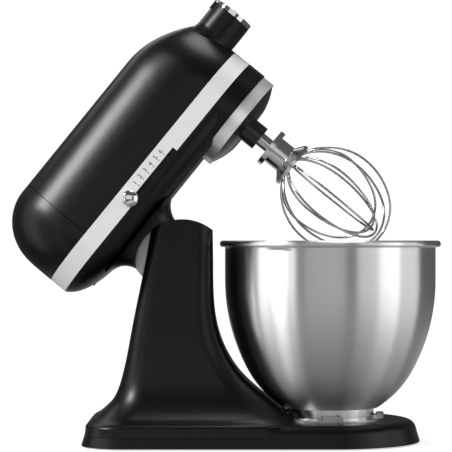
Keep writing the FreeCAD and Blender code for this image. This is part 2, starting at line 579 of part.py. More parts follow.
cover_front = s.seam_x - s.seam_gap
cover = skin(TAIL, 0.0).fuse(skin([SHOULDER, cover_front], 0.0))
cover = cover.cut(skin(inner(TAIL), s.shell_wall)).cut(skin([SHOULDER, cover_front], s.shell_wall))
screw_z = s.band_top + s.cover_screw_rise
seat_x = s.head_rear + s.cover_screw_sink
cover = cover.cut(drum(s.screw_head + s.fit_gap, s.shell_wall, seat_x - s.shell_wall, 0, screw_z, ALONG))
hole_radius = s.screw_radius + s.fit_gap
cover = cover.cut(drum(hole_radius, s.cover_screw_length, seat_x - s.shell_wall, 0, screw_z, ALONG))
head_piece("rear_cover", cover)
head_x = seat_x - s.head_height
rear_screw = drum(s.screw_head, s.head_height, head_x, 0, screw_z, ALONG)
rear_screw = rear_screw.fuse(drum(s.screw_radius, s.cover_screw_length, head_x, 0, screw_z, ALONG))
head_piece("rear_cover_screw", rear_screw)

# Lower housing: belly, nose rim, neck over the column, and the bed for motor and gears

BELLY = [  # drop below the band, inset of the sides and inset of the rear
    (0.0, 0.0, 0.0), (8.0, 1.5, 6.5), (14.0, 6.0, 17.0), (19.8, 15.0, 40.0)]
NECK = [  # rear and front from the hinge, flare of the sides, corner radius and height over the hinge
    (46.0, 43.0, 6.0, 20.0, 47.5), (33.0, 32.0, 1.5, 15.0, 41.0), (27.0, 26.0, 0.0, 13.0, 30.0)]
SLANT = math.degrees(math.atan2(s.head_half - s.nose_radius, -SHOULDER))
wall_out = s.band_thick + s.fit_gap
wall_in = s.deck_thick
chamber_top = s.deck_z - s.deck_thick


def rounded_wire(x0, x1, half, corner, z):
    """Rounded rectangle at one height."""
    slant = corner * (1 - math.sqrt(0.5))
    edges = []
    spots = [(x0, -half, 1, 1), (x1, -half, -1, 1), (x1, half, -1, -1), (x0, half, 1, -1)]
    for index, (x, y, dx, dy) in enumerate(spots):
        before = vec(x, y + dy * corner, z)
        middle = vec(x + dx * slant, y + dy * slant, z)
        after = vec(x + dx * corner, y, z)
        if index % 2:
            before, after = after, before
        nx, ny, mx, my = spots[(index + 1) % 4]
        following = vec(nx, ny + my * corner, z) if index % 2 else vec(nx + mx * corner, ny, z)
        edges += [Part.Arc(before, middle, after).toShape(), Part.makeLine(after, following)]
    return Part.Wire(edges)


lower = Part.makeLoft([plan(s.band_bottom - drop, inset, rear) for drop, inset, rear in BELLY], True)
lower = lower.fuse(drum(s.nose_radius, s.band_bottom - s.nose_bottom, 0, 0, s.nose_bottom))
rings = []
for rear, front, flare, corner, rise in NECK:
    x0, x1 = s.pivot_x - rear, s.pivot_x + front
    rings.append(rounded_wire(x0, x1, s.column_half + flare, corner, s.pivot_z + rise))
lower = lower.fuse(Part.makeLoft(rings, True))
cheek = s.column_half + NECK[0][2]
lower = lower.cut(drum(s.column_round + s.part_gap, 2 * cheek, s.pivot_x, -cheek, s.pivot_z, ACROSS))
lower = lower.cut(drum(s.nose_radius + s.part_gap, s.nose_bottom, 0, 0, 0))
lower = lower.fuse(slab(s.band_bottom, s.band_top, wall_out))
lower = lower.cut(slab(s.deck_z, s.head_top, wall_in))
lower = lower.cut(block(s.bed_rear, s.bed_front, -s.bed_half, s.bed_half, s.floor_z, s.deck_z))
lower = lower.cut(drum(s.chamber_radius, chamber_top, 0, 0, 0))
RIBS = [(s.bearing_front, s.bearing_radius), (s.stator_rear + s.stator_length - s.rib_thick, s.stator_radius),
        (s.stator_rear, s.stator_radius), (s.bearing_rear, s.bearing_radius)]
for start, seat in RIBS:
    rib = block(start, start + s.rib_thick, -s.rib_half, s.rib_half, s.floor_z - s.rib_root, s.motor_z)
    lower = lower.fuse(rib.cut(drum(seat + s.fit_gap, s.rib_thick, start, 0, s.motor_z, ALONG)))
socket_half = s.tongue_half + s.tongue_gap
socket_rear = s.pivot_x - s.tongue_heel - s.tongue_gap
socket_front = s.pivot_x + s.tongue_round + s.tongue_gap
socket_top = s.pivot_z + s.tongue_top + s.tongue_gap
lower = lower.cut(block(socket_rear, socket_front, -socket_half, socket_half, s.pivot_z, socket_top))
bush_radius = s.shaft_radius + s.bush_wall
lower = lower.cut(drum(bush_radius + s.fit_gap, s.deck_z, 0, 0, 0))
lay_pitch = s.module * (s.centre_teeth + s.layshaft_teeth) / 2
wheel_pitch = s.module * s.wheel_teeth / 2
lay_y = wheel_pitch + s.worm_radius
lay_x = -math.sqrt(lay_pitch ** 2 - lay_y ** 2)
lay_foot = s.deck_z - s.shaft_step
lower = lower.cut(drum(s.layshaft_radius + s.running_gap, s.deck_z, lay_x, lay_y, lay_foot - s.part_gap))
BOLTS = [(s.pivot_x + x, y) for x in (-s.bolt_rear, s.bolt_front) for y in (s.bolt_half, -s.bolt_half)]
bolt_seat = s.floor_z - s.bolt_head_height
for x, y in BOLTS:
    lower = lower.cut(drum(s.bolt_head + s.fit_gap, s.deck_z - bolt_seat, x, y, bolt_seat))
    lower = lower.cut(drum(s.bolt_radius + s.fit_gap, s.bolt_length, x, y, bolt_seat - s.bolt_length))
gland_x = s.head_rear + s.gland_inset
lower = lower.cut(drum(s.gland_radius + s.fit_gap, s.deck_z, gland_x, 0, 0))


def wall_frame(x, side):
    """Frame on the side of the head with its X along the wall, its Y outwards and its Z up or down."""
    turn = FreeCAD.Rotation(UP, SLANT * -side)
    spin = turn if side > 0 else turn.multiply(FreeCAD.Rotation(ALONG, 180))
    return FreeCAD.Placement(vec(x, side * plan_half(x), s.band_bottom), spin)


def wall_block(x, side, u0, u1, v0, v1, w0, w1):
    """Block on the side wall, along it, outwards from it and up from the band's lower edge."""
    low, high = (w0, w1) if side > 0 else (-w1, -w0)
    shape = block(u0, u1, v0, v1, low, high)
    shape.Placement = wall_frame(x, side)
    return shape


def wall_drum(x, side, radius, v0, v1, u, w):
    shape = drum(radius, v1 - v0, u, v0, w * side, ACROSS)
    shape.Placement = wall_frame(x, side)
    return shape


band = slab(s.band_bottom, s.band_top, 0.0).cut(slab(s.band_bottom, s.band_top, s.band_thick))
stem_w = s.slot_rise + (s.slot_height - s.stem_height) / 2
slot_top = s.slot_rise + s.slot_height
LEVERS = [("speed_knob", "speed_slider", s.speed_x, -1, s.speed_travel),
          ("lock_knob", "lock_bolt", s.lock_x, 1, s.lock_travel)]
for knob_name, runner_name, x, side, travel in LEVERS:
    deep = s.slot_depth
    slot_reach = travel + s.slot_end
    lower = lower.cut(wall_block(x, side, -s.slot_end, slot_reach, -deep, deep, s.slot_rise, slot_top))
    notch_reach = travel + s.notch_end + s.notch_lead
    band = band.cut(wall_block(x, side, -s.notch_end, notch_reach, -deep, deep, 0, s.notch_height))
    knob_out = s.knob_stand + s.knob_depth
    knob = wall_drum(x, side, s.knob_radius, s.knob_stand, knob_out, 0.0, s.knob_radius - s.knob_drop)
    stem = wall_block(x, side, -s.stem_half, s.stem_half, -s.stem_length, knob_out / 2, stem_w,
                      stem_w + s.stem_height)
    head_piece(knob_name, knob.fuse(stem))
    half = s.runner_length / 2
    runner = wall_block(x, side, -half, half, -s.stem_length - s.runner_thick, -s.stem_length, -s.runner_drop,
                        s.runner_height - s.runner_drop)
    head_piece(runner_name, runner)
head_piece("lower_housing", lower)
head_piece("trim_band", band)

# Hinge tongue, its bolts and the cord gland

tongue = new_body("hinge_tongue")
extrude(tongue, "XZ_Plane", [
    ("pivot_x + tongue_round", "pivot_z + tongue_top"), ("pivot_x - tongue_heel", "pivot_z + tongue_top"),
    ("pivot_x - tongue_heel", "pivot_z + tongue_step"),
    ("pivot_x - tongue_waist", "pivot_z + tongue_waist_z"),
    ("pivot_x - tongue_back", "pivot_z + tongue_back_z"),
    ("pivot_x - tongue_toe", "pivot_z - tongue_toe_z"),
    ("pivot_x", "pivot_z - tongue_round"), ("pivot_x + tongue_round", "pivot_z", "left", "tongue_round")],
    "2 * tongue_half", both=True)
pin_bore(tongue, "pin_radius + running_gap", "-tongue_half - 1", "tongue_half + 1")
for x, y in BOLTS:
    round_run(tongue, "bolt_radius + fit_gap", "bolt_hole", "pivot_z + tongue_top", str(x), str(y))
turned_head(tongue)
bolts = []
for x, y in BOLTS:
    shank = drum(s.bolt_radius, s.bolt_length, x, y, bolt_seat - s.bolt_length)
    bolts.append(shank.fuse(drum(s.bolt_head, s.bolt_head_height, x, y, bolt_seat)).removeSplitter())
turned_head(feature("tongue_bolts", Part.makeCompound(bolts)))
gland_foot = "deck_z - gland_drop"
head_turned("cord_gland", [
    ("gland_bore", gland_foot), ("gland_radius", gland_foot), ("gland_radius", "deck_z"),
    ("gland_flange", "deck_z"), ("gland_flange", "deck_z + gland_rim"), ("gland_bore", "deck_z + gland_rim")],
    x=str(gland_x))

# Planetary head, beater shaft and whisk

orbit = s.module * (s.ring_teeth - s.pinion_teeth) / 2
beater_x = orbit * math.cos(math.radians(s.beater_angle))
beater_y = orbit * math.sin(math.radians(s.beater_angle))
carrier_r = "drip_radius - drip_wall - fit_gap"
web_z = "drip_bottom + carrier_web"
carrier = new_body("planetary_carrier")
revolve(carrier, [
    ("shaft_radius + fit_gap", "dome_bottom"), ("dome_half", "dome_bottom"),
    (carrier_r, "drip_bottom", "left", "dome_arc"), (carrier_r, "drip_top"),
    (f"{carrier_r} - carrier_wall", "drip_top"), (f"{carrier_r} - carrier_wall", web_z),
    ("carrier_hub", web_z), ("carrier_hub", "drip_top"), ("shaft_radius + fit_gap", "drip_top")])
boss_rise = "drip_top - boss_bottom"
round_run(carrier, "boss_radius", boss_rise, "boss_bottom", str(beater_x), str(beater_y), cut=False)
round_run(carrier, "shaft_radius + running_gap", boss_rise, "drip_top", str(beater_x), str(beater_y))
turned_head(carrier)
head_turned("drip_ring", [
    ("drip_radius - drip_wall", "drip_bottom"), ("drip_radius", "drip_bottom"), ("drip_radius", "drip_top"),
    ("drip_radius - drip_wall", "drip_top")])
shaft_end = "hub_z - bevel_width"
head_turned("planetary_shaft", [("0", "dome_bottom + part_gap"), ("shaft_radius", "dome_bottom + part_gap"),
                                ("shaft_radius", shaft_end), ("0", shaft_end)])
bush_r = "shaft_radius + bush_wall"
bush_foot = "deck_z - deck_thick"
bush_edge = f"{bush_r} + bush_flange"
bush_hole = "shaft_radius + running_gap"
head_turned("planetary_bush", [
    (bush_hole, bush_foot), (bush_r, bush_foot), (bush_r, "deck_z"), (bush_edge, "deck_z"),
    (bush_edge, "deck_z + bush_flange"), (bush_hole, "deck_z + bush_flange")])
shaft_top = "deck_z - deck_thick - part_gap"
head_turned("beater_shaft", [
    ("0", "beater_bottom"), ("shaft_radius", "beater_bottom"), ("shaft_radius", shaft_top), ("0", shaft_top)],
    x=str(beater_x), y=str(beater_y))
disc_low = "whisk_disc_top - whisk_disc_thick"
whisk_hub = new_body("whisk_hub")
revolve(whisk_hub, [
    ("0", "crown_top"), ("whisk_hub_radius", "crown_top"), ("whisk_hub_radius", disc_low),
    ("whisk_disc_radius", disc_low), ("whisk_disc_radius", "whisk_disc_top"),
    ("shaft_radius + fit_gap", "whisk_disc_top"), ("shaft_radius + fit_gap", "beater_bottom"),
    ("0", "beater_bottom")])
extrude(whisk_hub, "XY_Plane", [
    ("-slit_reach", "-slit_half"), ("slit_reach", "-slit_half"), ("slit_reach", "slit_half"),
    ("-slit_reach", "slit_half")], "whisk_disc_thick - slit_floor", "whisk_disc_top", cut=True)
whisk_hub.Placement = FreeCAD.Placement(vec(beater_x, beater_y, 0), FreeCAD.Rotation())
turned_head(whisk_hub)
pin_height = s.whisk_disc_top - s.whisk_disc_thick + s.cross_rise
cross = drum(s.cross_radius, s.cross_length, beater_x - s.cross_length / 2, beater_y, pin_height, ALONG)
cross = cross.cut(drum(s.shaft_radius, s.whisk_disc_top, beater_x, beater_y, s.beater_bottom))
head_piece("drive_pin", cross)
head_turned("whisk_crown", [("0", "crown_bottom"), ("crown_radius", "crown_bottom"),
                            ("crown_radius", "crown_bottom + crown_edge"), ("whisk_hub_radius", "crown_top"),
                            ("0", "crown_top")], x=str(beater_x), y=str(beater_y))


def bent(start, centre, turn):
    """Round wire bent from a point about a centre in the XZ plane through an angle."""
    section = Part.makeCircle(s.wire_radius, start, ACROSS.cross(start - centre))
    return Part.Face(Part.Wire(section)).revolve(centre, ACROSS, turn)


def wire_loop(step):
    """One whisk loop in the XZ plane: shoulder arc, side arc and a tip arc centred on the axis, mirrored."""
    belt_r = s.whisk_radius - 0.8 * step
    belt_z = s.whisk_belt_z + s.wire_step * step
    rise = s.crown_bottom - belt_z
    run = belt_r - s.wire_root
    shoulder = (run ** 2 + rise ** 2) / (2 * run)
    sweep = math.degrees(math.atan2(rise, shoulder - run)) + 3.0
    top = vec(belt_r - shoulder, 0, belt_z)
    side = vec(belt_r - s.whisk_side_arc, 0, belt_z)
    slope = vec(math.cos(math.radians(s.whisk_turn)), 0, -math.sin(math.radians(s.whisk_turn)))
    low = side + slope * s.whisk_side_arc
    tip = low - slope * (low.x / slope.x)
    root = top + vec(math.cos(math.radians(sweep)), 0, math.sin(math.radians(sweep))) * shoulder
    bends = [(root, top, sweep), (vec(belt_r, 0, belt_z), side, s.whisk_turn),
             (low, tip, 180.0 - 2 * s.whisk_turn),
             (vec(-low.x, 0, low.z), vec(-side.x, 0, side.z), s.whisk_turn),
             (vec(-belt_r, 0, belt_z), vec(-top.x, 0, top.z), sweep)]
    rods = [bent(*bend) for bend in bends]
    return rods[0].multiFuse(rods[1:]).removeSplitter()


loops = []
for step in range(int(s.wire_loops)):
    loop = wire_loop(step)
    loop.rotate(vec(0, 0, 0), UP, 180.0 / s.wire_loops * step)
    loop.translate(vec(beater_x, beater_y, 0))
    loops.append(loop.common(drum(2 * s.whisk_radius, s.crown_bottom, beater_x, beater_y, 0)))
turned_head(feature("whisk_wires", Part.makeCompound(loops)))

# Drive train: motor, worm, layshaft, planetary gear, and the bevel pair of the attachment hub


def polar(radius, angle):
    return vec(radius * math.cos(angle), radius * math.sin(angle))


def gear_outline(teeth, slack, turn, inside=False):
    """Involute gear outline: tooth 0 points along turn, each tooth thinned by the slack at the pitch circle.

    An inside outline is that of the hole in a ring gear, whose spaces are widened by the slack."""
    pitch = s.module * teeth / 2
    base = pitch * math.cos(math.radians(20))
    low = pitch - s.module * (0.9 if inside else 1.25)
    high = pitch + s.module * (1.25 if inside else 0.95)
    start = max(low, base)
    thick = math.pi / (2 * teeth) + (slack if inside else -slack) / (2 * pitch)

    def half(radius):
        lean = math.acos(min(base / radius, 1.0))
        return thick + math.tan(math.radians(20)) - math.radians(20) - math.tan(lean) + lean

    edges = []
    last = None
    for tooth in range(int(teeth)):
        middle = math.radians(turn) + 2 * math.pi * tooth / teeth
        rise = [polar(radius, middle - half(radius)) for radius in (start, pitch, high)]
        fall = [polar(radius, middle + half(radius)) for radius in (high, pitch, start)]
        foot = polar(low, middle - half(start)), polar(low, middle + half(start))
        if last:
            edges.append(Part.makeLine(last, foot[0]))
        if start - low > 0.01:
            edges.append(Part.makeLine(foot[0], rise[0]))
        else:
            rise[0], fall[2] = foot
        edges += [Part.Arc(*rise).toShape(), Part.makeLine(rise[2], fall[0]), Part.Arc(*fall).toShape()]
        if start - low > 0.01:
            edges.append(Part.makeLine(fall[2], foot[1]))
        last = foot[1]
    edges.append(Part.makeLine(last, edges[0].Vertexes[0].Point))
    return Part.Wire(edges)


def spur(teeth, slack, turn, x, y, z, width, inside=False):
    shape = Part.Face(gear_outline(teeth, slack, turn, inside)).extrude(vec(0, 0, width))
    shape.translate(vec(x, y, z))
    return shape


def bevel_outline(teeth, reach, turns, tilts, share):
    """Outline of a bevel gear in the plane at its share of the reach from the apex, in the XY plane."""
    step = 2 * math.pi / teeth
    radii = [reach * share * math.tan(math.radians(tilt)) for tilt in tilts]
    corners = []
    for tooth in range(int(teeth)):
        corners += [polar(radius, tooth * step - half) for radius, half in zip(radii, turns)]
        corners += [polar(radius, tooth * step + half) for radius, half in reversed(list(zip(radii, turns)))]
    return Part.makePolygon([c - vec(0, 0, reach * share) for c in corners + corners[:1]])


def bevel(teeth, reach, turns, tilts, share):
    """Bevel gear about Z with its apex at the origin, below it."""
    outlines = [bevel_outline(teeth, reach, turns, tilts, part) for part in (1.0, share)]
    return Part.makeLoft(outlines, True, True)


gear_z = s.deck_z + s.gear_lift
ring_z = chamber_top - s.ring_drop
wheel_z = s.motor_z - s.wheel_width / 2
ring = drum(s.chamber_radius - s.fit_gap, s.ring_width, 0, 0, ring_z)
ring = ring.cut(spur(s.ring_teeth, s.backlash, s.beater_angle, 0, 0, ring_z, s.ring_width, True))
head_piece("ring_gear", ring)
pinion = spur(s.pinion_teeth, s.backlash, s.beater_angle, beater_x, beater_y, ring_z, s.ring_width)
pinion = pinion.cut(drum(s.shaft_radius + s.fit_gap, s.ring_width, beater_x, beater_y, ring_z))
head_piece("beater_pinion", pinion)
lay_way = math.degrees(math.atan2(lay_y, lay_x))
centre = spur(s.centre_teeth, s.backlash, lay_way, 0, 0, gear_z, s.centre_width)
web_circle = (s.shaft_radius + s.module * s.centre_teeth / 2) / 2
for hole in range(int(s.web_holes)):
    web = polar(web_circle, 2 * math.pi * hole / s.web_holes)
    centre = centre.cut(drum(s.web_hole, s.centre_width, web.x, web.y, gear_z))
head_piece("center_gear", centre.cut(drum(s.shaft_radius + s.fit_gap, s.centre_width, 0, 0, gear_z)))
lay = drum(s.layshaft_radius, s.motor_z + s.layshaft_over - lay_foot, lay_x, lay_y, lay_foot)
lay_turn = lay_way + 180.0 + 180.0 / s.layshaft_teeth
lay_gear_z = gear_z + (s.centre_width - s.layshaft_width) / 2
lay_gear = spur(s.layshaft_teeth, s.backlash, lay_turn, lay_x, lay_y, lay_gear_z, s.layshaft_width)
head_piece("pinion_shaft", lay.fuse(lay_gear))

lead = math.pi * s.module
lean = math.atan2(lead, 2 * math.pi * s.worm_radius)
twist = math.degrees(s.wheel_width / 2 * math.tan(lean) / (s.module * s.wheel_teeth / 2))
faces = []
for height, sign in ((wheel_z, -1), (wheel_z + s.wheel_width, 1)):
    outline = gear_outline(s.wheel_teeth, s.backlash, -90.0 + 180.0 / s.wheel_teeth + sign * twist)
    outline.translate(vec(lay_x, lay_y, height))
    faces.append(outline)
wheel = Part.makeLoft(faces, True, True)
head_piece("worm_wheel", wheel.cut(drum(s.layshaft_radius + s.fit_gap, s.wheel_width, lay_x, lay_y, wheel_z)))

worm_tip = s.worm_radius + 0.9 * s.module
worm_root = s.worm_radius - 1.2 * s.module
flank = math.tan(math.radians(20))
half_tip = s.thread_thick / 2 - (worm_tip - s.worm_radius) * flank
half_root = s.thread_thick / 2 + (s.worm_radius - worm_root) * flank
helix = Part.makeHelix(lead, 4 * lead, s.worm_radius)
thread_line = [vec(worm_root - 0.3, 0, -half_root), vec(worm_tip, 0, -half_tip), vec(worm_tip, 0, half_tip),
               vec(worm_root - 0.3, 0, half_root)]
thread = Part.Wire(helix).makePipeShell([Part.makePolygon(thread_line + thread_line[:1])], True, True)
thread.translate(vec(0, 0, -2 * lead))
worm = thread.fuse(drum(worm_root, 4.6 * lead, 0, 0, -2.3 * lead))
worm = worm.cut(drum(s.worm_bore + s.fit_gap, 6 * lead, 0, 0, -3 * lead))
worm.Placement = FreeCAD.Placement(vec(lay_x, 0, s.motor_z), FreeCAD.Rotation(vec(1, 1, 1), 120))
head_piece("worm", worm)

bevel_reach = s.module * s.bevel_teeth / 2
hub_pitch = s.module * s.hub_teeth / 2
near_share = 1.0 - s.bevel_width / math.hypot(bevel_reach, hub_pitch)
bevel_low = s.hub_z - hub_pitch
crown_wheel = bevel(s.bevel_teeth, hub_pitch, (0.0699, 0.0403, 0.0182), (59.6, 63.43, 66.47), near_share)
crown_wheel.rotate(vec(0, 0, 0), UP, 180.0 / s.bevel_teeth)
crown_wheel.translate(vec(0, 0, s.hub_z))
crown_wheel = crown_wheel.fuse(drum(s.shaft_radius * 2, s.bevel_hub, 0, 0, bevel_low - s.bevel_hub))
head_piece("bevel_gear", crown_wheel.cut(drum(s.shaft_radius + s.fit_gap, s.hub_z, 0, 0, 0)))
hub_gear = bevel(s.hub_teeth, bevel_reach, (0.156, 0.0895, 0.0337), (22.73, 26.57, 29.6), near_share)
hub_gear.Placement = FreeCAD.Placement(vec(0, 0, s.hub_z), FreeCAD.Rotation(ACROSS, -90))
coupler_x = s.sleeve_rear + s.part_gap
hub_gear = hub_gear.fuse(drum(s.hub_shaft, coupler_x - bevel_reach, bevel_reach, 0, s.hub_z, ALONG))
hub_gear = hub_gear.fuse(drum(s.coupler_radius, s.coupler_length, coupler_x, 0, s.hub_z, ALONG))
hub_gear = hub_gear.cut(block(coupler_x + s.coupler_floor, s.hub_front, -s.drive_half, s.drive_half,
                              s.hub_z - s.drive_half, s.hub_z + s.drive_half))
head_piece("hub_gear", hub_gear)
sleeve = drum(s.sleeve_radius, s.hub_front - s.sleeve_rear, s.sleeve_rear, 0, s.hub_z, ALONG)
sleeve = sleeve.cut(drum(s.coupler_radius + s.coupler_gap, s.hub_front, s.sleeve_rear, 0, s.hub_z, ALONG))
socket_x = coupler_x + s.coupler_length + s.part_gap
sleeve = sleeve.cut(drum(s.socket_radius, s.hub_front, socket_x, 0, s.hub_z, ALONG))
sleeve = sleeve.cut(drum(s.thumb_stem + s.running_gap, s.sleeve_radius, s.thumb_x, 0, s.hub_z, ACROSS))
head_piece("hub_sleeve", sleeve)
cap = drum(s.hub_radius - s.cap_play, s.cap_thick, cap_x, 0, s.hub_z, ALONG)
cap_end = cap_x + s.cap_thick
cap = cap.cut(block(cap_x, cap_end, -s.hub_radius, s.hub_radius, pin_z, pin_z + s.hub_radius))
for near in (s.cap_half, -s.cap_half - s.hub_radius):
    shelf = pin_z - knuckle - s.cap_gap
    cap = cap.cut(block(cap_x, cap_end, near, near + s.hub_radius, shelf, shelf + s.hub_radius))
cap = cap.fuse(drum(knuckle, 2 * s.cap_half, pin_x, -s.cap_half, pin_z, ACROSS))
cap = cap.fuse(drum(s.cap_ridge, 2 * s.cap_half, cap_end, -s.cap_half, s.hub_z, ACROSS))
cap = cap.cut(drum(s.cap_pin_radius + s.running_gap, 2 * s.cap_half, pin_x, -s.cap_half, pin_z, ACROSS))
head_piece("hub_cap", cap)
head_piece("hub_cap_pin", drum(s.cap_pin_radius, 2 * pin_reach_y, pin_x, -pin_reach_y, pin_z, ACROSS))
knob_y = boss_top + s.part_gap
stem_y = s.socket_radius + s.part_gap
thumb = drum(s.thumb_radius, s.thumb_length, s.thumb_x, knob_y, s.hub_z, ACROSS)
for groove in range(int(s.thumb_grooves)):
    rim = polar(s.thumb_radius, 2 * math.pi * groove / s.thumb_grooves)
    x, z = s.thumb_x + rim.x, s.hub_z + rim.y
    thumb = thumb.cut(drum(s.thumb_groove, s.thumb_length, x, knob_y, z, ACROSS))
thumb = thumb.fuse(drum(s.thumb_stem, knob_y - stem_y, s.thumb_x, stem_y, s.hub_z, ACROSS))
head_piece("hub_knob", thumb)

frame_z = gear_z + s.frame_lift
notch_x = s.frame_rear + s.frame_notch
leg_front = s.frame_front - s.frame_notch
LEGS = [(leg_front, s.frame_front_half), (leg_front, -s.frame_front_half),
        (notch_x, s.frame_rear_half), (notch_x, -s.frame_rear_half)]
FRAME = [(s.frame_front, s.frame_front_half), (notch_x, s.frame_rear_half + s.frame_leg),
         (s.frame_rear, s.frame_rear_half)]
corners = [vec(x, y, frame_z) for x, y in FRAME] + [vec(x, -y, frame_z) for x, y in reversed(FRAME)]
gear_frame = Part.Face(Part.makePolygon(corners + corners[:1])).extrude(vec(0, 0, s.frame_thick))
for x, y in LEGS:
    gear_frame = gear_frame.fuse(drum(s.frame_leg, frame_z - s.deck_z, x, y, s.deck_z))
gear_frame = gear_frame.common(slab(s.deck_z, s.band_top, wall_in + s.frame_gap))
for x, y, radius in ((0, 0, s.shaft_radius), (lay_x, lay_y, s.layshaft_radius)):
    gear_frame = gear_frame.cut(drum(radius + s.running_gap, s.frame_thick, x, y, frame_z))
head_piece("gear_frame", gear_frame)

core_rear = "stator_rear + core_inset"
core_front = "stator_rear + stator_length - core_inset"
head_turned("armature", [("0", "shaft_rear"), ("motor_shaft", "shaft_rear"), ("motor_shaft", core_rear),
                         ("core_radius", core_rear), ("core_radius", core_front), ("motor_shaft", core_front),
                         ("motor_shaft", "shaft_neck"), ("worm_bore", "shaft_neck"), ("worm_bore", "shaft_front"),
                         ("0", "shaft_front")], z="motor_z", axis=ALONG)
field = "core_radius + air_gap"
stator_front = "stator_rear + stator_length"
head_turned("motor_stator", [
    (field, "stator_rear"), ("stator_radius", "stator_rear"), ("stator_radius", stator_front),
    (field, stator_front)], z="motor_z", axis=ALONG)
shaft_hole = s.motor_shaft + s.fit_gap


def along_ring(outer, hole, start, end):
    """Ring about the motor shaft between two stations."""
    ring = drum(outer, end - start, start, 0, s.motor_z, ALONG)
    return ring.cut(drum(hole, end - start, start, 0, s.motor_z, ALONG))


def along_bars(count, start, end, inside, outside, thick):
    """Flat bars that stand out from the motor shaft like spokes."""
    bars = []
    for bar in range(int(count)):
        spoke = block(start, end, -thick / 2, thick / 2, s.motor_z + inside, s.motor_z + outside)
        spoke.rotate(vec(0, 0, s.motor_z), ALONG, 360.0 * bar / count)
        bars.append(spoke)
    return bars


copper = along_ring(s.commutator_radius, shaft_hole, s.commutator_rear, s.commutator_front)
slit_foot = s.commutator_radius - s.bar_depth
slit_top = s.commutator_radius + s.bar_depth
copper = copper.cut(along_bars(s.bars, s.commutator_rear, s.commutator_front, slit_foot, slit_top, s.bar_gap))
head_piece("commutator", copper)
fan = along_ring(s.fan_radius, shaft_hole, s.fan_rear, s.fan_rear + s.fan_disc)
fan = fan.fuse(along_ring(s.fan_hub, shaft_hole, s.fan_rear, s.fan_front))
blade_rear = s.fan_rear + s.fan_disc / 2
blade_foot = s.fan_hub - s.blade_thick
blade_tip = s.fan_radius - s.blade_thick
fan = fan.fuse(along_bars(s.fan_blades, blade_rear, s.fan_front, blade_foot, blade_tip, s.blade_thick))
head_piece("cooling_fan", fan)
bearings = []
race = s.motor_shaft + s.running_gap
for start in (s.bearing_front, s.bearing_rear):
    bearings.append(along_ring(s.bearing_radius, race, start, start + s.bearing_width))
turned_head(feature("motor_bearings", Part.makeCompound(bearings)))
brush_top = s.motor_z + s.brush_half
brush_foot = s.motor_z - s.brush_half
contact = s.commutator_radius + s.brush_gap
holders = []
for mirrored in (False, True):
    carbon = block(s.brush_rear, s.brush_front, contact, s.brush_reach, brush_foot, brush_top)
    stand = block(s.brush_rear, s.brush_front, s.brush_stand, s.brush_reach, s.floor_z, brush_top)
    holder = carbon.fuse(stand).removeSplitter()
    if mirrored:
        holder = holder.mirror(vec(0, 0, 0), ACROSS)
    holders.append(holder)
turned_head(feature("brush_holders", Part.makeCompound(holders)))
board_out = -s.board_side - s.board_thick
board_top = s.deck_z + s.board_height
head_piece("speed_board", block(s.board_rear, s.board_front, board_out, -s.board_side, s.deck_z, board_top))

doc.recompute()
for item in doc.Objects:
    if "Invalid" in item.State or "Error" in item.State:
        raise RuntimeError(item.Label + " did not build")
os.makedirs("parts", exist_ok=True)
for piece in pieces:
    if piece.Shape.isNull() or not piece.Shape.isValid():
        raise RuntimeError(piece.Label + " has no valid shape")
    piece.Shape.exportStep("parts/%s.step" % piece.Label)
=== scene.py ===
import json
import math

import bpy
import numpy as np
from mathutils import Matrix, Vector


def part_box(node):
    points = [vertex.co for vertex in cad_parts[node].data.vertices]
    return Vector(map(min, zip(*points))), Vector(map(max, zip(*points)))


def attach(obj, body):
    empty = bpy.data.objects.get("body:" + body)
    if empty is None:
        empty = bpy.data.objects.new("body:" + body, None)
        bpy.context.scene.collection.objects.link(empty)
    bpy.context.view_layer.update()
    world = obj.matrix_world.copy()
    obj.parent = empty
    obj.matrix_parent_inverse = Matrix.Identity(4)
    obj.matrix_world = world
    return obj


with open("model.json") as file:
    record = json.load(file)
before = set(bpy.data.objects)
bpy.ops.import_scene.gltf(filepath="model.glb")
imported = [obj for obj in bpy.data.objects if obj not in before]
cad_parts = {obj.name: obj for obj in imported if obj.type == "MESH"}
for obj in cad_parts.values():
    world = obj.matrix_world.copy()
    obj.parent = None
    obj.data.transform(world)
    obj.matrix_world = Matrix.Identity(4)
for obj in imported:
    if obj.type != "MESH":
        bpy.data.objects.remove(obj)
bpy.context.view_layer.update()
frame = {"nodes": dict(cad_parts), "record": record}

# Base casting and its rubber feet. The base is one aluminium die casting with a column at the rear,
# sprayed satin black all over and baked. Five turned rubber feet are pressed into its underside.
# The same black paint covers the three shells of the head, so its finish is made here.

GRAIN_DETAIL = 3.0
SMOOTHEST = 0.02


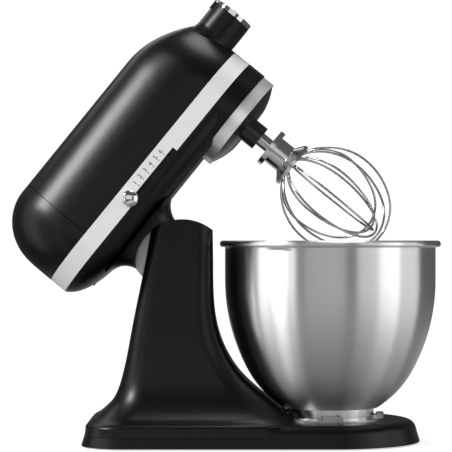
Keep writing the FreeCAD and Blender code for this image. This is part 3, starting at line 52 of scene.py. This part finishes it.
def finish(name, colour, metallic, roughness, grain, depth, turn=0.0, spread=0.04, tone=0.08, sockets=()):
    """A surface finish. Grain gives the noise's cycles per metre along X, Y and Z. The noise makes a relief
    of the given depth, and varies the roughness by the spread and the colour by the tone. Turn lays the
    grain along the raised head, by an angle about Y. Other sockets of the shader are set by name."""
    made = bpy.data.materials.new(name)
    made.use_nodes = True
    nodes, links = made.node_tree.nodes, made.node_tree.links
    shader = nodes["Principled BSDF"]
    shader.inputs["Metallic"].default_value = metallic
    for socket, value in sockets:
        shader.inputs[socket].default_value = value
    place = nodes.new("ShaderNodeTexCoord")
    lay = nodes.new("ShaderNodeMapping")
    lay.inputs["Rotation"].default_value = (0.0, turn, 0.0)
    stretch = nodes.new("ShaderNodeMapping")
    stretch.inputs["Scale"].default_value = grain
    noise = nodes.new("ShaderNodeTexNoise")
    noise.inputs["Scale"].default_value = 1.0
    noise.inputs["Detail"].default_value = GRAIN_DETAIL
    relief = nodes.new("ShaderNodeBump")
    relief.inputs["Strength"].default_value = 1.0
    relief.inputs["Distance"].default_value = depth
    gloss = nodes.new("ShaderNodeMapRange")
    gloss.inputs["To Min"].default_value = max(roughness - spread, SMOOTHEST)
    gloss.inputs["To Max"].default_value = roughness + spread
    tint = nodes.new("ShaderNodeValToRGB")
    tint.color_ramp.elements[0].color = (*[(1.0 - tone) * part for part in colour], 1.0)
    tint.color_ramp.elements[1].color = (*[min((1.0 + tone) * part, 1.0) for part in colour], 1.0)
    links.new(place.outputs["Object"], lay.inputs["Vector"])
    links.new(lay.outputs["Vector"], stretch.inputs["Vector"])
    links.new(stretch.outputs["Vector"], noise.inputs["Vector"])
    links.new(noise.outputs["Fac"], relief.inputs["Height"])
    links.new(relief.outputs["Normal"], shader.inputs["Normal"])
    links.new(noise.outputs["Fac"], gloss.inputs["Value"])
    links.new(gloss.outputs["Result"], shader.inputs["Roughness"])
    links.new(noise.outputs["Fac"], tint.inputs["Fac"])
    links.new(tint.outputs["Color"], shader.inputs["Base Color"])
    return made


def dress(made, *names):
    """Puts a finish on every material slot of the named solids."""
    for name in names:
        piece = frame["nodes"][name]
        if not piece.material_slots:
            piece.data.materials.append(made)
        for place in piece.material_slots:
            place.material = made


black_paint = finish("satin_black_paint", colour=(0.0016, 0.0016, 0.0018), metallic=0.0, roughness=0.33,
                     grain=(900, 900, 900), depth=1.5e-6, sockets=[("Specular IOR Level", 0.28)])
foot_rubber = finish("foot_rubber", colour=(0.012, 0.012, 0.012), metallic=0.0, roughness=0.75,
                     grain=(1500, 1500, 1500), depth=2e-5)
dress(black_paint, "base_casting")
dress(foot_rubber, "rubber_feet")

# Edge of the foot. The column's skirt is faired into the foot with filler under the paint, so the side
# rolls over in one soft edge, from the near side of the bowl round the rear to the far side.

FOOT_CORNER = 0.036
EDGE_END, EDGE_RUN = -0.041, 0.024
EDGE_SINK, EDGE_DEPTH = 0.00015, 0.003
EDGE_STEPS = 48
EDGE_PROBE = 0.02
MM = 0.001
EDGE_PROFILE = MM * np.array([  # height of a point of the edge, and how far it stands out of the casting
    (25.0, -0.1), (24.1, 0.1), (22.9, 0.45), (21.95, 0.8), (21.25, 1.3), (20.5, 1.45), (19.55, 1.0),
    (18.4, 3.1), (16.9, 1.85), (15.2, 0.8), (13.2, 0.25), (11.0, 0.06), (9.0, -0.06)])
casting = frame["nodes"]["base_casting"]


def foot_plan(low, high, steps):
    """Points on the foot's plan and its inward normals: along the near side from the bowl to the rear,
    round a corner, across the rear, round the other corner and back along the far side."""
    rear, half = low[0], high[1]
    middle, side = rear + FOOT_CORNER, half - FOOT_CORNER
    line, turn = np.linspace(0.0, 1.0, steps), np.linspace(0.0, np.pi / 2, steps)[1:-1]
    one, nought = np.ones(steps), np.zeros(steps)
    along = EDGE_END + (middle - EDGE_END) * line
    across = side * (2.0 * line - 1.0)
    bend = [middle - FOOT_CORNER * np.sin(turn), side + FOOT_CORNER * np.cos(turn)]
    x = np.concatenate([along, bend[0], rear * one, bend[0][::-1], along[::-1]])
    y = np.concatenate([-half * one, -bend[1], across, bend[1][::-1], half * one])
    in_x = np.concatenate([nought, np.sin(turn), one, np.sin(turn)[::-1], nought])
    in_y = np.concatenate([one, np.cos(turn), nought, -np.cos(turn)[::-1], -one])
    return np.stack([x, y], axis=-1), np.stack([in_x, in_y], axis=-1)


def inset(place, inward, height):
    """How far inside the foot's plan the casting's side lies at a height, probed level from outside."""
    start = Vector((*(place - EDGE_PROBE * inward), height))
    met = casting.ray_cast(start, Vector((*inward, 0.0)))[1]
    return (met.xy - Vector(place)).dot(Vector(inward))


def tube(rings):
    """Closed tube through rings of points, an array of ring by point by XYZ: quads between neighbours,
    and a face over each end."""
    count, sides = rings.shape[:2]
    ring, side = np.meshgrid(np.arange(count - 1), np.arange(sides), indexing="ij")
    after = (side + 1) % sides
    quads = np.stack([ring * sides + side, (ring + 1) * sides + side, (ring + 1) * sides + after,
                      ring * sides + after], axis=-1).reshape(-1, 4).tolist()
    ends = [list(range(sides)), list(range((count - 1) * sides, count * sides))[::-1]]
    return rings.reshape(-1, 3), quads + ends


def new_piece(name, points, faces, made):
    """A mesh of an array of points and a list of faces, in one finish, put into the scene."""
    mesh = bpy.data.meshes.new(name)
    mesh.from_pydata(points.tolist(), [], faces)
    mesh.materials.append(made)
    piece = bpy.data.objects.new(name, mesh)
    bpy.context.scene.collection.objects.link(piece)
    return piece


plan, inward = foot_plan(*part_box("base_casting"), EDGE_STEPS)
heights, stands = EDGE_PROFILE.T
skirt = np.array([[inset(place, way, height) for height in heights] for place, way in zip(plan, inward)])
fade = np.clip((EDGE_END - plan[:, :1]) / EDGE_RUN, 0.0, 1.0)
fade = fade * fade * (3.0 - 2.0 * fade)
outer = skirt + EDGE_SINK - (stands + EDGE_SINK) * fade
depth = np.concatenate([outer, skirt[:, ::-1] + EDGE_DEPTH], axis=1)
level = np.concatenate([heights, heights[::-1]]) * np.ones_like(depth)
edge_rings = np.concatenate([plan[:, None] + depth[..., None] * inward[:, None], level[..., None]], axis=-1)
edge_points, edge_faces = tube(edge_rings)
foot_edge = new_piece("foot_edge", edge_points, edge_faces, black_paint)
foot_edge.data.polygons.foreach_set("use_smooth", [True] * len(edge_faces))
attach(foot_edge, "base")

# Bowl seat. A turned steel plate with four hooks is held on the base by four screws, and the bowl's
# foot twists under the hooks. The hinge pin through the column is ground steel.

seat_steel = finish("turned_seat_steel", colour=(0.52, 0.52, 0.53), metallic=1.0, roughness=0.3,
                    grain=(60, 60, 900), depth=4e-6)
ground_steel = finish("ground_steel", colour=(0.6, 0.6, 0.62), metallic=1.0, roughness=0.22,
                      grain=(1200, 1200, 1200), depth=1e-6)
dress(seat_steel, "bowl_clamp_plate")
dress(ground_steel, "clamp_screws", "hinge_pin")

# Bowl. It is spun from stainless sheet on a lathe and brushed while it turns, so the marks run round
# it as level rings. The rim is rolled outwards, and a ring with four lugs is welded under it.

bowl_steel = finish("brushed_bowl_steel", colour=(0.86, 0.855, 0.85), metallic=1.0, roughness=0.35,
                    grain=(12, 12, 2600), depth=4e-7, spread=0.02, tone=0.04,
                    sockets=[("Anisotropic", 0.97), ("Anisotropic Rotation", 0.25)])
foot_steel = finish("polished_foot_steel", colour=(0.7, 0.7, 0.7), metallic=1.0, roughness=0.16,
                    grain=(30, 30, 1800), depth=1e-6)
dress(bowl_steel, "bowl")
dress(foot_steel, "bowl_foot")

# Shells of the head. Upper housing, rear cover and lower housing are aluminium castings in the same
# baked black paint as the base, and a screw holds the cover.

dress(black_paint, "upper_housing", "rear_cover", "lower_housing")
dress(ground_steel, "rear_cover_screw")

# Hinge tongue. A bare aluminium casting bolted under the lower housing, which swings on the pin
# between the two cheeks of the column. It is not painted, and keeps its grey cast skin.

bare_casting = finish("bare_cast_aluminium", colour=(0.58, 0.58, 0.59), metallic=1.0, roughness=0.42,
                      grain=(500, 500, 500), depth=2e-5)
dress(bare_casting, "hinge_tongue")
dress(ground_steel, "tongue_bolts")

# Cord gland. A moulded nylon bush pressed into the floor of the lower housing, where a mains cord would
# enter. The slides, the thumb screw, the brush holders and the fan are moulded from the same nylon.

gland_nylon = finish("black_nylon", colour=(0.01, 0.01, 0.011), metallic=0.0, roughness=0.5,
                     grain=(1400, 1400, 1400), depth=6e-6)
dress(gland_nylon, "cord_gland")

# Trim band. A strip of stainless steel, brushed along its length and bent round the head between the
# two housings. The grain runs level with the head, so it is turned with the tilt.

TILT = math.radians(51.0)
band_steel = finish("brushed_band_steel", colour=(0.95, 0.945, 0.94), metallic=0.25, roughness=0.36,
                    grain=(25, 25, 2600), depth=4e-6, turn=TILT, spread=0.05, tone=0.04)
dress(band_steel, "trim_band")

# Levers of the band. The speed lever and the head lock are chromed zinc knobs on nylon slides that
# run in slots at the band's lower edge. Each knob has a domed face, turned bright.

KNOB_RADIUS, KNOB_RISE, KNOB_SINK = 0.0068, 0.003, 0.0002
KNOB_RINGS, KNOB_SPOKES = 16, 48
FLAT_WITHIN = 1e-5
bright_chrome = finish("bright_chrome", colour=(0.82, 0.82, 0.83), metallic=1.0, roughness=0.08,
                       grain=(700, 700, 700), depth=5e-7, tone=0.02)
dress(bright_chrome, "speed_knob", "lock_knob")
dress(gland_nylon, "speed_slider", "lock_bolt")


def dome(radius, rise, rings, spokes):
    """Rings of points (radius sin a cos t, radius sin a sin t, rise cos a), for a from the middle of the
    face to its edge and t round the circle."""
    a, t = np.meshgrid(np.linspace(0.0, np.pi / 2, rings + 1)[1:], np.arange(spokes) * 2 * np.pi / spokes,
                       indexing="ij")
    reach = radius * np.sin(a)
    return np.stack([reach * np.cos(t), reach * np.sin(t), rise * np.cos(a)], axis=-1)


def points_of(mesh):
    """A mesh's points, as an array of point by XYZ."""
    row = np.empty(3 * len(mesh.vertices))
    mesh.vertices.foreach_get("co", row)
    return row.reshape(-1, 3)


for name, side, body in (("speed_knob", -1, "speed_lever"), ("lock_knob", 1, "head_lock")):
    knob = frame["nodes"][name].data
    out = max(knob.polygons, key=lambda flat: side * flat.center.y).normal
    forward = Vector((0.0, 0.0, 1.0)).cross(out).normalized()
    axes = np.array([forward, out.cross(forward), out])
    places = points_of(knob) @ axes.T
    face = places[places[:, 2] > places[:, 2].max() - FLAT_WITHIN]
    middle = (face.min(axis=0) + face.max(axis=0)) / 2 - (0.0, 0.0, KNOB_SINK)
    domed = dome(KNOB_RADIUS, KNOB_RISE, KNOB_RINGS, KNOB_SPOKES) + middle
    face_points, face_quads = tube(domed @ axes)
    knob_face = new_piece(name + "_face", face_points, face_quads, bright_chrome)
    knob_face.data.polygons.foreach_set("use_smooth", [True] * (len(face_quads) - 1) + [False])
    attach(knob_face, body)

# Speed marks. Six numerals with a dot under each are printed in dark ink on the band, above the slot of
# the speed lever. Each lies flat on the band's slanting side, a hair off the steel.

MARKS = 6
MARK_FIRST, MARK_STEP = -0.0985, 0.0069
NUMERAL_Z, DOT_Z = 0.2303, 0.2268
NUMERAL_HEIGHT, DOT_RADIUS = 0.0042, 0.00055
NUMERAL_SHARE = 0.7
DOT_RINGS, DOT_SPOKES = 3, 20
INK_LIFT = 3e-5
BAND_PROBE = 0.01
mark_ink = finish("mark_ink", colour=(0.03, 0.03, 0.032), metallic=0.0, roughness=0.6,
                  grain=(2500, 2500, 2500), depth=1e-6)
joints = {joint["name"]: joint for joint in frame["record"]["behaviour"]["joints"]}
hinge = Vector(joints["head_tilt"]["pos_m"])
raised = Matrix.Translation(hinge) @ Matrix.Rotation(-TILT, 4, "Y") @ Matrix.Translation(-hinge)
band = frame["nodes"]["trim_band"]
band_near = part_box("trim_band")[0][1] - BAND_PROBE


def disc(radius, rings, spokes):
    """Points r (cos t, sin t, 0) for r up to the radius and t round the circle: rings of quads, and one
    face inside the first ring."""
    r, t = np.meshgrid(np.linspace(radius / rings, radius, rings), np.arange(spokes) * 2 * np.pi / spokes,
                       indexing="ij")
    points = np.stack([r * np.cos(t), r * np.sin(t), 0 * r], axis=-1).reshape(-1, 3)
    ring, spoke = np.meshgrid(np.arange(rings - 1), np.arange(spokes), indexing="ij")
    after = (spoke + 1) % spokes
    quads = np.stack([ring * spokes + spoke, (ring + 1) * spokes + spoke, (ring + 1) * spokes + after,
                      ring * spokes + after], axis=-1).reshape(-1, 4)
    return points, quads.tolist() + [list(range(spokes))]


def numeral(text, height):
    """Points and faces of a numeral of the given height, centred on the origin in the XY plane. A numeral
    takes up a fixed share of its letter size."""
    curve = bpy.data.curves.new("numeral", "FONT")
    curve.body = text
    curve.size = height / NUMERAL_SHARE
    curve.align_x = "CENTER"
    curve.align_y = "CENTER"
    letter = bpy.data.objects.new("numeral", curve)
    flat = bpy.data.meshes.new_from_object(letter)
    shape = points_of(flat), [list(face.vertices) for face in flat.polygons]
    bpy.data.objects.remove(letter)
    bpy.data.curves.remove(curve)
    bpy.data.meshes.remove(flat)
    return shape


def on_band(along, height):
    """Frame on the band's near side: X forwards along the head, Y up it, Z out of the steel."""
    aim = raised @ Vector((along, 0.0, height))
    place, out = band.ray_cast(Vector((aim.x, band_near, aim.z)), Vector((0.0, 1.0, 0.0)))[1:3]
    up = raised.to_3x3() @ Vector((0.0, 0.0, 1.0))
    forward = up.cross(out).normalized()
    turn = Matrix((forward, out.cross(forward), out)).transposed()
    return Matrix.Translation(place + INK_LIFT * out) @ turn.to_4x4()


mark_points, mark_faces = np.empty((0, 3)), []
for speed in range(MARKS):
    along = MARK_FIRST + speed * MARK_STEP
    number = numeral(str(speed + 1), NUMERAL_HEIGHT)
    dot = disc(DOT_RADIUS, DOT_RINGS, DOT_SPOKES)
    for (points, faces), height in ((number, NUMERAL_Z), (dot, DOT_Z)):
        where = np.array(on_band(along, height))
        mark_faces += [[len(mark_points) + corner for corner in face] for face in faces]
        mark_points = np.concatenate([mark_points, points @ where[:3, :3].T + where[:3, 3]])
speed_marks = new_piece("speed_marks", mark_points, mark_faces, mark_ink)
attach(speed_marks, "head")

# Attachment hub. A steel sleeve is pressed into the nose, with a polished cap on a small pin over it
# and a black thumb screw at its side. Behind it a bevel gear drives the square socket.

socket_steel = finish("socket_steel", colour=(0.45, 0.45, 0.46), metallic=1.0, roughness=0.3,
                      grain=(900, 60, 60), depth=3e-6)
dress(socket_steel, "hub_sleeve")
dress(bright_chrome, "hub_cap", "hub_cap_pin")
dress(gland_nylon, "hub_knob")

# Motor. A universal motor lies along the head: laminated iron stator and armature, copper commutator,
# two carbon brushes in nylon holders, ball bearings, a nylon fan and the speed board.

laminated_iron = finish("laminated_iron", colour=(0.12, 0.12, 0.13), metallic=1.0, roughness=0.55,
                        grain=(1800, 60, 60), depth=3e-5)
commutator_copper = finish("commutator_copper", colour=(0.72, 0.36, 0.2), metallic=1.0, roughness=0.3,
                           grain=(900, 80, 80), depth=3e-6)
board_green = finish("speed_board_green", colour=(0.02, 0.1, 0.04), metallic=0.0, roughness=0.45,
                     grain=(600, 600, 600), depth=8e-6, tone=0.25)
dress(laminated_iron, "motor_stator", "armature")
dress(commutator_copper, "commutator")
dress(gland_nylon, "brush_holders", "cooling_fan")
dress(ground_steel, "motor_bearings")
dress(board_green, "speed_board")

# Gear train. A steel worm on the motor shaft turns a bronze wheel, its pinion turns the centre gear,
# and the carrier's pinion rolls inside a fixed steel ring, so the beater turns as it goes round.

gear_steel = finish("cut_gear_steel", colour=(0.5, 0.5, 0.51), metallic=1.0, roughness=0.32,
                    grain=(800, 800, 800), depth=4e-6)
gear_bronze = finish("gear_bronze", colour=(0.62, 0.42, 0.2), metallic=1.0, roughness=0.32,
                     grain=(800, 800, 800), depth=4e-6)
dress(gear_steel, "worm", "pinion_shaft", "planetary_shaft", "center_gear")
dress(gear_steel, "bevel_gear", "hub_gear", "ring_gear", "beater_pinion")
dress(gear_bronze, "worm_wheel", "planetary_bush")
dress(bare_casting, "gear_frame")

# Planetary carrier and drip ring. The carrier is a dark grey painted casting with a boss for the beater
# shaft, and a bright stainless ring pressed on its edge keeps grease out of the bowl.

carrier_grey = finish("dark_carrier_paint", colour=(0.014, 0.014, 0.015), metallic=0.0, roughness=0.26,
                      grain=(900, 900, 900), depth=5e-7)
ring_steel = finish("bright_ring_steel", colour=(0.96, 0.955, 0.95), metallic=0.7, roughness=0.3,
                    grain=(25, 25, 2600), depth=3e-6, turn=TILT, tone=0.03)
dress(carrier_grey, "planetary_carrier")
dress(ring_steel, "drip_ring")

# Beater shaft and whisk. The shaft is ground steel with a cross pin. The whisk's hub and crown are
# polished castings, and six loops of stainless wire are set in the crown.

whisk_metal = finish("polished_whisk_metal", colour=(0.72, 0.72, 0.73), metallic=1.0, roughness=0.2,
                     grain=(700, 700, 700), depth=2e-6)
wire_steel = finish("whisk_wire_steel", colour=(0.42, 0.42, 0.43), metallic=1.0, roughness=0.2,
                    grain=(500, 500, 500), depth=2e-6)
dress(ground_steel, "beater_shaft", "drive_pin")
dress(whisk_metal, "whisk_hub", "whisk_crown")
dress(wire_steel, "whisk_wires")

# Studio. A patch of white floor takes the shadow, and a glow stands for the rest of the floor in the
# bowl's reflections, dimmed near the bowl as a painted shade of the floor there. Soft boxes stand all
# round and above, and the camera is level with the bowl.

GROUND_RINGS, GROUND_SPOKES = 8, 96
FLOOR_CENTRE, FLOOR_REACH, FLOOR_WHITE = -0.065, (0.21, 0.13), 0.86
GLOW_CENTRE, GLOW_REACH, GLOW_WHITE = 0.0, (0.4, 1.3), 0.0
GLOW_DROP = 0.001
# The glow is weakest near the bowl and rises outwards: painted shade of the floor round the bowl, seen only
# in reflections.
GLOW_SHADED_NEAR, GLOW_FAR = (0.08, 0.1), (0.6, 0.55)  # distance from the bowl's axis, and strength there
FLOOR_LIGHT = 0.6


def ground(name, centre, reach, white):
    """Level oval of points (centre + reach x r cos t, reach y r sin t, 0), for r from 0 to 1, that shines."""
    points, faces = disc(1.0, GROUND_RINGS, GROUND_SPOKES)
    lit = finish(name, colour=(white, white, white), metallic=0.0, roughness=0.9, grain=(40, 40, 40),
                 depth=1e-6, tone=0.01,
                 sockets=[("Emission Color", (1.0, 1.0, 1.0, 1.0)), ("Emission Strength", FLOOR_LIGHT)])
    floor = new_piece(name, points * (*reach, 1.0) + (centre, 0.0, 0.0), faces, lit)
    return floor


shadow_floor = ground("floor", FLOOR_CENTRE, FLOOR_REACH, FLOOR_WHITE)
shadow_floor.visible_glossy = False
floor_glow = ground("floor_glow", GLOW_CENTRE, GLOW_REACH, GLOW_WHITE)
floor_glow.visible_camera = False
floor_glow.visible_shadow = False
floor_glow.location.z = -GLOW_DROP
glow_tree = floor_glow.active_material.node_tree
nodes, links = glow_tree.nodes, glow_tree.links
# Emission strength grows with distance from the bowl's axis, so the floor's reflection is darker near the
# bowl: painted shade.
away = nodes.new("ShaderNodeVectorMath")
away.operation = "LENGTH"
glow = nodes.new("ShaderNodeMapRange")
for end, (distance, strength) in (("Min", GLOW_SHADED_NEAR), ("Max", GLOW_FAR)):
    glow.inputs["From " + end].default_value = distance
    glow.inputs["To " + end].default_value = strength
links.new(nodes["Texture Coordinate"].outputs["Object"], away.inputs[0])
links.new(away.outputs["Value"], glow.inputs["Value"])
links.new(glow.outputs["Result"], nodes["Principled BSDF"].inputs["Emission Strength"])

ROOM_LIGHT, ROOM_SEEN = 0.1, 1.05
room = bpy.data.worlds.new("white_room")
room.use_nodes = True
bpy.context.scene.world = room
nodes, links = room.node_tree.nodes, room.node_tree.links
ray = nodes.new("ShaderNodeLightPath")
brightness = nodes.new("ShaderNodeMapRange")
brightness.inputs["To Min"].default_value = ROOM_LIGHT
brightness.inputs["To Max"].default_value = ROOM_SEEN
links.new(ray.outputs["Is Camera Ray"], brightness.inputs["Value"])
nodes["Background"].inputs["Color"].default_value = (1.0, 1.0, 1.0, 1.0)
links.new(brightness.outputs["Result"], nodes["Background"].inputs["Strength"])

AIM = Vector((-0.08, 0.0, 0.2))
SOFT_BOXES = (  # name, place, width, height and power in watts
    ("front_fill", (-0.4, -2.6, 0.75), 2.2, 1.3, 5.9),
    ("left", (-1.6, -0.3, 0.2), 0.42, 1.6, 3.6),
    ("left_wide", (-1.6, -1.05, 0.2), 1.0, 1.6, 1.6),
    ("left_front", (-1.15, -1.25, 0.2), 0.12, 1.6, 1.2),
    ("left_back", (-1.65, 0.12, 0.3), 0.08, 1.4, 1.3),
    ("right", (1.54, -0.78, 0.2), 0.72, 1.6, 6.2),
    ("right_front", (1.07, -1.32, 0.2), 0.8, 1.6, 3.6),
    ("right_back", (1.7, 0.0, 0.2), 1.1, 1.6, 4.6),
    ("shoulder", (-1.72, -0.7, 1.55), 0.6, 0.5, 46.0),
    ("top_back", (-0.75, 1.0, 1.15), 1.2, 0.3, 2.0),
    ("overhead", (0.2, 0.1, 2.0), 1.0, 0.8, 16.0),
)
for name, place, width, height, power in SOFT_BOXES:
    lamp = bpy.data.lights.new(name, "AREA")
    lamp.shape = "RECTANGLE"
    lamp.size = width
    lamp.size_y = height
    lamp.energy = power
    box = bpy.data.objects.new(name, lamp)
    facing = (AIM - Vector(place)).to_track_quat("-Z", "Y")
    box.matrix_world = Matrix.Translation(place) @ facing.to_matrix().to_4x4()
    bpy.context.scene.collection.objects.link(box)

PHOTO_SIDE, FOCAL = 452.0, 1900.0  # in pixels of the photograph
SENSOR_WIDTH = 36.0
CAMERA_PLACE, CAMERA_PITCH = (-0.0915, -1.672, 0.1769), math.radians(90.42)
lens = bpy.data.cameras.new("photo_camera")
lens.sensor_width = SENSOR_WIDTH
lens.lens = FOCAL / PHOTO_SIDE * SENSOR_WIDTH
camera = bpy.data.objects.new("photo_camera", lens)
camera.location = CAMERA_PLACE
camera.rotation_euler = (CAMERA_PITCH, 0.0, 0.0)
bpy.context.scene.collection.objects.link(camera)
bpy.context.scene.camera = camera
bpy.context.scene.view_settings.view_transform = "Standard"
